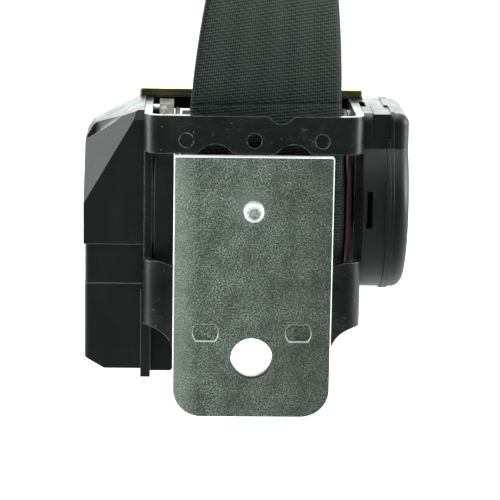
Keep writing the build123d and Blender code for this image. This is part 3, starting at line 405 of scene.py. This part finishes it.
def gold_chromate():
    """Yellow chromate of the tie bar: a pale lip, painted shade below it and a painted gold
    highlight on its top faces and edges.
    """
    s = Shader("gold_chromate")
    bar_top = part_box("tie_bar")[1].z / MM
    tint = s.noise(5, detail=4, stretch=(0.5, 1, 1))
    lip = s.ramp(tint, (0.32, (0.12, 0.13, 0.08)), (0.5, (0.24, 0.235, 0.14)),
                 (0.66, (0.19, 0.15, 0.13)))
    # painted shade: nearly black below the lip
    base = s.mix(s.above(s.along("Z"), bar_top - TIE_BAR_LIP, 0.4), (0.014, 0.016, 0.011), lip)
    gold = (0.8, 0.72, 0.26)
    # painted highlight: top faces and edges gold
    top_lit_gold = s.mix(s.ramp(s.turned_from((0, 0, 1)), (0.05, 1.0), (0.4, 0.0)), base, gold)
    finished_colour = s.mix(s.ramp(s.edge(0.6), (0.02, 0.0), (0.18, 1.0)), top_lit_gold, gold)
    return s.finish(finished_colour, s.ramp(s.noise(2), (0.3, 0.28), (0.7, 0.44)),
                    s.bump(s.noise(0.6), 0.01, s.rounded(0.5)), metallic=0.8)


def bright_steel():
    """Ground steel with fine grinding lines."""
    s = Shader("bright_steel")
    lines = s.noise(0.35, detail=3, stretch=(1, 0.06, 1))
    colour = s.ramp(lines, (0.3, (0.2, 0.205, 0.21)), (0.7, (0.36, 0.365, 0.37)))
    return s.finish(colour, s.ramp(lines, (0.3, 0.26), (0.7, 0.42)),
                    s.bump(lines, 0.008, s.rounded(0.3)), metallic=0.9)


def shaded_pawl_steel():
    """Steel of the lock pawl, darkened as painted shade of its pocket, with tan patches as painted
    highlights.
    """
    s = Shader("shaded_pawl_steel")
    glint_noise = s.noise(2.4, detail=4)
    # painted shade: dark steel, with tan patches as painted highlights
    colour = s.ramp(glint_noise, (0.35, (0.03, 0.03, 0.028)), (0.55, (0.07, 0.066, 0.058)),
                    (0.68, (0.3, 0.26, 0.21)))
    return s.finish(colour, s.ramp(glint_noise, (0.3, 0.5), (0.7, 0.7)), s.rounded(0.3), metallic=0.3)


def cast_alloy():
    """Die cast zinc alloy, dull and slightly grainy."""
    s = Shader("cast_alloy")
    grain = s.noise(0.8, detail=5)
    colour = s.ramp(grain, (0.3, (0.26, 0.265, 0.27)), (0.7, (0.42, 0.425, 0.43)))
    return s.finish(colour, s.ramp(grain, (0.3, 0.45), (0.7, 0.62)),
                    s.bump(grain, 0.03, s.rounded(0.3)), metallic=0.9)


def woven(name, dark, light):
    """Ribbed webbing on UV in millimetres: u across the width and v along the length."""
    s = Shader(name)
    uv = s.node("ShaderNodeUVMap", uv_map="cloth").outputs["UV"]
    parts = s.node("ShaderNodeSeparateXYZ")
    s.link(uv, parts.inputs["Vector"])
    across, along = parts.outputs["X"], parts.outputs["Y"]
    turn = 2 * math.pi
    slanted = s.math("SUBTRACT", along, s.math("MULTIPLY", across, RIB_SLOPE))
    ribs = s.math("SINE", s.math("MULTIPLY", slanted, turn / RIB_PITCH))
    yarn = s.math("SINE", s.math("MULTIPLY", across, turn / YARN_PITCH))
    twill = s.math("SINE", s.math("ADD", s.math("MULTIPLY", across, turn / TWILL_PITCH),
                                  s.math("MULTIPLY", along, turn / (2 * RIB_PITCH))))
    panels = s.math("SINE", s.math("MULTIPLY", across, turn / PANEL_WIDTH))
    weave = s.math("MULTIPLY", s.math("ADD", ribs, 1.0), s.math("ADD", yarn, 1.6))
    height = s.math("ADD", s.math("MULTIPLY", weave, 0.2), s.math("MULTIPLY", twill, 0.12))
    lit = s.ramp(height, (0.05, dark), (0.95, light))
    soft = s.mix(s.math("MULTIPLY", s.math("ADD", panels, 1.0), 0.08), lit, light)
    fuzz = s.mix(s.ramp(s.noise(0.5, detail=5, roughness=0.8), (0.35, 0.0), (0.75, 0.35)),
                 soft, dark)
    return s.finish(fuzz, 0.7, s.bump(height, 0.16), Specular_IOR_Level=0.2, Sheen_Weight=0.05,
                    Sheen_Roughness=0.4)


MATERIALS = {
    "mottled_zinc": mottled_zinc(),
    "bright_zinc": bright_zinc(),
    "black_steel": black_steel(),
    "gold_chromate": gold_chromate(),
    "black_plastic": black_plastic("black_plastic", 0.75),
    "grey_plastic": plain_plastic("grey_plastic", (0.42, 0.43, 0.43), (0.58, 0.59, 0.58)),
    "red_plastic": plain_plastic("red_plastic", (0.016, 0.002, 0.002), (0.045, 0.006, 0.006)),
    "cast_alloy": cast_alloy(),
    "bright_steel": bright_steel(),
    "webbing": woven("webbing", (0.008, 0.011, 0.0095), (0.047, 0.061, 0.054)),
}
THREAD = plain_plastic("thread", (0.03, 0.033, 0.03), (0.07, 0.075, 0.07))
DRUM_PLASTIC = black_plastic("drum_plastic", 0.0)
OWN_FINISH = {"lock_pawl": shaded_pawl_steel(), "spring_housing": DRUM_PLASTIC,
              "spring_cap": DRUM_PLASTIC,
              "ratchet_guard": black_plastic("matt_plastic", 0.3, gloss=0.12)}


def paint_nodes():
    """Gives each CAD node its own finish, or the material of its slot in the record."""
    for part in frame["record"]["subparts"]:
        mesh = nodes[part["node"]].data
        mesh.materials.clear()
        mesh.materials.append(OWN_FINISH.get(part["node"]) or MATERIALS[part["material_slot"]])


# Webbing

def made_from(mesh, name, slot, material=None):
    """Turns a bmesh into a named object of a slot, in that slot's material or another."""
    data = bpy.data.meshes.new(name)
    mesh.to_mesh(data)
    mesh.free()
    made = bpy.data.objects.new(name, data)
    bpy.context.scene.collection.objects.link(made)
    data.materials.append(material or MATERIALS[slot])
    return made


def ribbon(name, stations, first_v=0.0):
    """Webbing through stations of (centre, side direction), all in millimetres.

    The edges are rounded, and UV runs in millimetres across and along the cloth.
    """
    half, thin = WEBBING_WIDTH / 2, WEBBING_THICKNESS / 2
    across = [-half + thin * 0.2] + [half * k / 12 for k in range(-11, 12)] + [half - thin * 0.2]
    profile = [(-half, 0.0)] + [(x, thin) for x in across] + [(half, 0.0)]
    profile += [(x, -thin) for x in reversed(across)]
    mesh = bmesh.new()
    layer = mesh.loops.layers.uv.new("cloth")
    rows, lengths, run = [], [], first_v
    for index, (centre, side) in enumerate(stations):
        before = Vector(stations[max(index - 1, 0)][0])
        after = Vector(stations[min(index + 1, len(stations) - 1)][0])
        centre, side = Vector(centre), Vector(side).normalized()
        if index:
            run += (centre - before).length
        lengths.append(run)
        normal = (after - before).normalized().cross(side).normalized()
        rows.append([mesh.verts.new((centre + side * x + normal * h) * MM) for x, h in profile])
    count = len(profile)
    for row in range(len(rows) - 1):
        for k in range(count):
            n = (k + 1) % count
            face = mesh.faces.new((rows[row][k], rows[row][n], rows[row + 1][n], rows[row + 1][k]))
            ends = ((k, row), (n, row), (n, row + 1), (k, row + 1))
            for loop, (column, at) in zip(face.loops, ends):
                loop[layer].uv = (profile[column][0], lengths[at])
            face.smooth = True
    mesh.faces.new(rows[0][::-1])
    mesh.faces.new(rows[-1])
    bmesh.ops.recalc_face_normals(mesh, faces=mesh.faces)
    return made_from(mesh, name, "webbing")


def run_between(start, end, first_angle, last_angle, steps):
    """Stations of a straight run whose side direction turns about the vertical."""
    stations = []
    for step in range(steps + 1):
        share = step / steps
        angle = math.radians(first_angle + (last_angle - first_angle) * share)
        centre = [a + (b - a) * share for a, b in zip(start, end)]
        stations.append((centre, (math.cos(angle), math.sin(angle), 0)))
    return stations


def free_webbing():
    """The webbing from the exit to the stitched end, twisting as it rises."""
    top_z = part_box("webbing")[1].z / MM
    piece = ribbon("webbing_free", run_between(
        (BELT_X, EXIT_Y, EXIT_Z), (BELT_X + BELT_DRIFT, EXIT_Y, top_z),
        TWIST_AT_EXIT, TWIST_AT_LATCH, 40), first_v=EXIT_Z)
    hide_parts("webbing")
    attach(piece, "retractor")
    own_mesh(piece)


def inner_webbing():
    """The webbing between the roll and the exit, behind the frame's strap."""
    reach = math.hypot(EXIT_Y - SPOOL_Y, EXIT_Z - SPOOL_Z)
    lean = math.asin(RUN_OFFSET / reach) - math.atan2(SPOOL_Y - EXIT_Y, EXIT_Z - SPOOL_Z)
    start = (BELT_X, SPOOL_Y - RUN_OFFSET * math.cos(lean),
             SPOOL_Z + RUN_OFFSET * math.sin(lean))
    bend = (BELT_X, start[1] + (TWIST_START_Z - start[2]) * math.tan(lean), TWIST_START_Z)
    straight = run_between(start, bend, 0, 0, 8)
    twisted = run_between(bend, (BELT_X, EXIT_Y, EXIT_Z), 0, TWIST_AT_EXIT, 10)
    piece = ribbon("webbing_inner", straight + twisted[1:], first_v=start[2])
    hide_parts("webbing_inner_run")
    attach(piece, "retractor")


def around_spool(x, radius, step):
    """A point on a circle round the spool's axis, in millimetres."""
    angle = 2 * math.pi * step / TURN_STEPS
    return x, SPOOL_Y - radius * math.cos(angle), SPOOL_Z + radius * math.sin(angle)


def wound_webbing():
    """The roll: layer edges at both ends and a last turn lying over them."""
    low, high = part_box("webbing_roll")
    middle, half = (low.x + high.x) / 2 / MM, (high.x - low.x) / 2 / MM
    layers = int((ROLL_RADIUS - CORE_RADIUS) / WEBBING_THICKNESS)
    turn_radius = ROLL_RADIUS - WEBBING_THICKNESS / 2
    profile = []
    for layer in range(layers):
        inner = CORE_RADIUS + (turn_radius - CORE_RADIUS) * layer / layers
        outer = CORE_RADIUS + (turn_radius - CORE_RADIUS) * (layer + 1) / layers
        inset = LAYER_INSET + LAYER_SCATTER * math.sin(2.4 * layer)
        profile += [(inner, inset + LAYER_BEVEL), (inner + LAYER_BEVEL, inset),
                    (outer - LAYER_BEVEL, inset), (outer, inset + LAYER_BEVEL)]
    outline = [(middle - half + inset, radius) for radius, inset in profile]
    outline += [(middle + half - inset, radius) for radius, inset in reversed(profile)]
    mesh = bmesh.new()
    layer_uv = mesh.loops.layers.uv.new("cloth")
    rings = [[mesh.verts.new(mm(*around_spool(x, radius, step))) for x, radius in outline]
             for step in range(TURN_STEPS)]
    for step in range(TURN_STEPS):
        here, there = rings[step], rings[(step + 1) % TURN_STEPS]
        for k in range(len(outline)):
            n = (k + 1) % len(outline)
            face = mesh.faces.new((here[k], here[n], there[n], there[k]))
            corners = ((k, step), (n, step), (n, step + 1), (k, step + 1))
            for loop, (column, at) in zip(face.loops, corners):
                x, radius = outline[column]
                loop[layer_uv].uv = (x - middle + radius,
                                     at * 2 * math.pi * turn_radius / TURN_STEPS)
            face.smooth = True
    bmesh.ops.recalc_face_normals(mesh, faces=mesh.faces)
    roll = made_from(mesh, "webbing_wound", "webbing")
    outer_turn = ribbon("webbing_outer_turn",
                        [(around_spool(BELT_X, turn_radius, step), (1, 0, 0))
                         for step in range(TURN_STEPS + 1)])
    for piece in (roll, outer_turn):
        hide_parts("webbing_roll")
        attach(piece, "spool")


def stitched_loop():
    """The webbing's end, folded through the latch plate and sewn to itself."""
    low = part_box("webbing_end_loop")[0]
    origin = Vector((BELT_X + BELT_DRIFT, EXIT_Y, low.z / MM + STITCHED_LENGTH + LOOP_END))
    angle = math.radians(TWIST_AT_LATCH)
    side = Vector((math.cos(angle), math.sin(angle), 0))
    out = Vector((math.sin(angle), -math.cos(angle), 0))
    up = Vector((0, 0, 1))
    flat = WEBBING_THICKNESS / 2
    wide = LATCH_HALF_GAP + flat
    path = [(flat, -STITCHED_LENGTH - LOOP_END + 3.5 * k) for k in range(7)]
    path += [(flat + 0.25 * (wide - flat), -2.8), (flat + 0.8 * (wide - flat), -1.4)]
    path += [(wide, 0.6 + 1.1 * k) for k in range(4)]
    top = [(wide * math.cos(math.pi * k / 10), LATCH_BAR + 0.3 + 1.1 * math.sin(math.pi * k / 10))
           for k in range(1, 10)]
    path += top + [(-n, z) for n, z in reversed(path)]
    piece = ribbon("webbing_loop", [(origin + out * n + up * z, side) for n, z in path],
                   first_v=low.z / MM)
    stitches = bmesh.new()
    length, width, height = STITCH_HALF_SIZE
    for outward in (1, -1):
        for row in range(STITCH_ROWS):
            for column in range(STITCH_COLUMNS):
                lean = 1 if column % 2 else -1
                x = (column - (STITCH_COLUMNS - 1) / 2) * STITCH_COLUMN_PITCH
                z = -STITCHED_LENGTH - 1.0 + row * STITCH_ROW_PITCH + lean * 0.8
                centre = origin + side * x + up * z + out * outward * (2 * flat + 0.05)
                ball = bmesh.ops.create_uvsphere(stitches, u_segments=8, v_segments=6, radius=1.0)
                tilt = math.radians(lean * STITCH_TILT)
                along = side * math.cos(tilt) + up * math.sin(tilt)
                cross = side * -math.sin(tilt) + up * math.cos(tilt)
                for vert in ball["verts"]:
                    local = vert.co.copy()
                    vert.co = (centre + along * local.x * length + cross * local.y * width
                               + out * local.z * height) * MM
    for face in stitches.faces:
        face.smooth = True
    thread = made_from(stitches, "webbing_stitches", "webbing", THREAD)
    for part in (piece, thread):
        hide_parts("webbing_end_loop")
        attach(part, "latch")


# Studio

def lay_floor():
    """A pale floor that doesn't show in reflections."""
    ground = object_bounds()[0].z - FLOOR_DROP
    mesh = bpy.data.meshes.new("floor")
    sheet = bmesh.new()
    bmesh.ops.create_grid(sheet, x_segments=1, y_segments=1, size=FLOOR_SIZE)
    sheet.to_mesh(mesh)
    sheet.free()
    floor = bpy.data.objects.new("floor", mesh)
    floor.location = (0, 0, ground)
    bpy.context.scene.collection.objects.link(floor)
    white = Shader("floor_white")
    mesh.materials.append(white.finish(
        white.ramp(white.noise(400), (0.3, 0.9), (0.7, 0.93)), 0.9))
    floor.visible_glossy = False


def hang_sky():
    """A sky that darkens towards the front, behind a plain white backdrop."""
    world = bpy.data.worlds.new("studio")
    bpy.context.scene.world = world
    world.use_nodes = True
    tree = world.node_tree
    facing = tree.nodes.new("ShaderNodeVectorMath")
    facing.operation = "DOT_PRODUCT"
    facing.inputs[1].default_value = SKY_BRIGHT_SIDE
    tree.links.new(tree.nodes.new("ShaderNodeTexCoord").outputs["Generated"], facing.inputs[0])
    sky = tree.nodes.new("ShaderNodeMapRange")
    sky.interpolation_type = "SMOOTHSTEP"
    sky.inputs["From Min"].default_value = SKY_FROM
    sky.inputs["From Max"].default_value = SKY_TO
    sky.inputs["To Min"].default_value = SKY_LOW
    sky.inputs["To Max"].default_value = SKY_HIGH
    tree.links.new(facing.outputs["Value"], sky.inputs["Value"])
    backdrop = tree.nodes.new("ShaderNodeMix")
    backdrop.inputs["B"].default_value = SKY_HIGH
    tree.links.new(tree.nodes.new("ShaderNodeLightPath").outputs["Is Camera Ray"],
                   backdrop.inputs["Factor"])
    tree.links.new(sky.outputs["Result"], backdrop.inputs["A"])
    background = tree.nodes["Background"]
    background.inputs["Color"].default_value = (*LIGHT_TINT, 1)
    tree.links.new(backdrop.outputs["Result"], background.inputs["Strength"])


def set_lights():
    """A wide sun overhead and soft rectangles above, behind and at both sides."""
    sun = bpy.data.lights.new("overhead", "SUN")
    sun.energy = SUN_POWER
    sun.color = LIGHT_TINT
    sun.angle = math.radians(SUN_SPREAD)
    overhead = bpy.data.objects.new("overhead", sun)
    overhead.rotation_euler = [math.radians(lean) for lean in (*SUN_LEAN, 0)]
    bpy.context.scene.collection.objects.link(overhead)
    for name, place, width, height, watts in LIGHTS:
        light = bpy.data.lights.new(name, "AREA")
        light.shape = "RECTANGLE"
        light.energy = watts
        light.color = LIGHT_TINT
        light.size, light.size_y = width, height
        lamp = bpy.data.objects.new(name, light)
        lamp.location = place
        aim = Vector(LIGHTS_AIM) - Vector(place)
        lamp.rotation_euler = aim.to_track_quat("-Z", "Y").to_euler()
        bpy.context.scene.collection.objects.link(lamp)


def place_camera():
    """The photograph's camera."""
    camera = bpy.data.cameras.new("camera")
    camera.lens = CAMERA_LENS
    camera.sensor_width = 36.0
    camera.clip_start = 0.01
    pitch, yaw, roll = (math.radians(a) for a in (CAMERA_PITCH, CAMERA_YAW, CAMERA_ROLL))
    forward = Vector((math.sin(yaw) * math.cos(pitch), math.cos(yaw) * math.cos(pitch),
                      -math.sin(pitch)))
    level = Vector((math.cos(yaw), -math.sin(yaw), 0))
    down = forward.cross(level)
    right = level * math.cos(roll) + down * math.sin(roll)
    up = -(down * math.cos(roll) - level * math.sin(roll))
    eye = bpy.data.objects.new("camera", camera)
    eye.matrix_world = Matrix.Translation(mm(*CAMERA_PLACE)) @ Matrix(
        (right, up, -forward)).transposed().to_4x4()
    bpy.context.scene.collection.objects.link(eye)
    bpy.context.scene.camera = eye


paint_nodes()
free_webbing()
inner_webbing()
wound_webbing()
stitched_loop()
lay_floor()
hang_sky()
set_lights()
place_camera()
bpy.context.scene.view_settings.view_transform = "Standard"
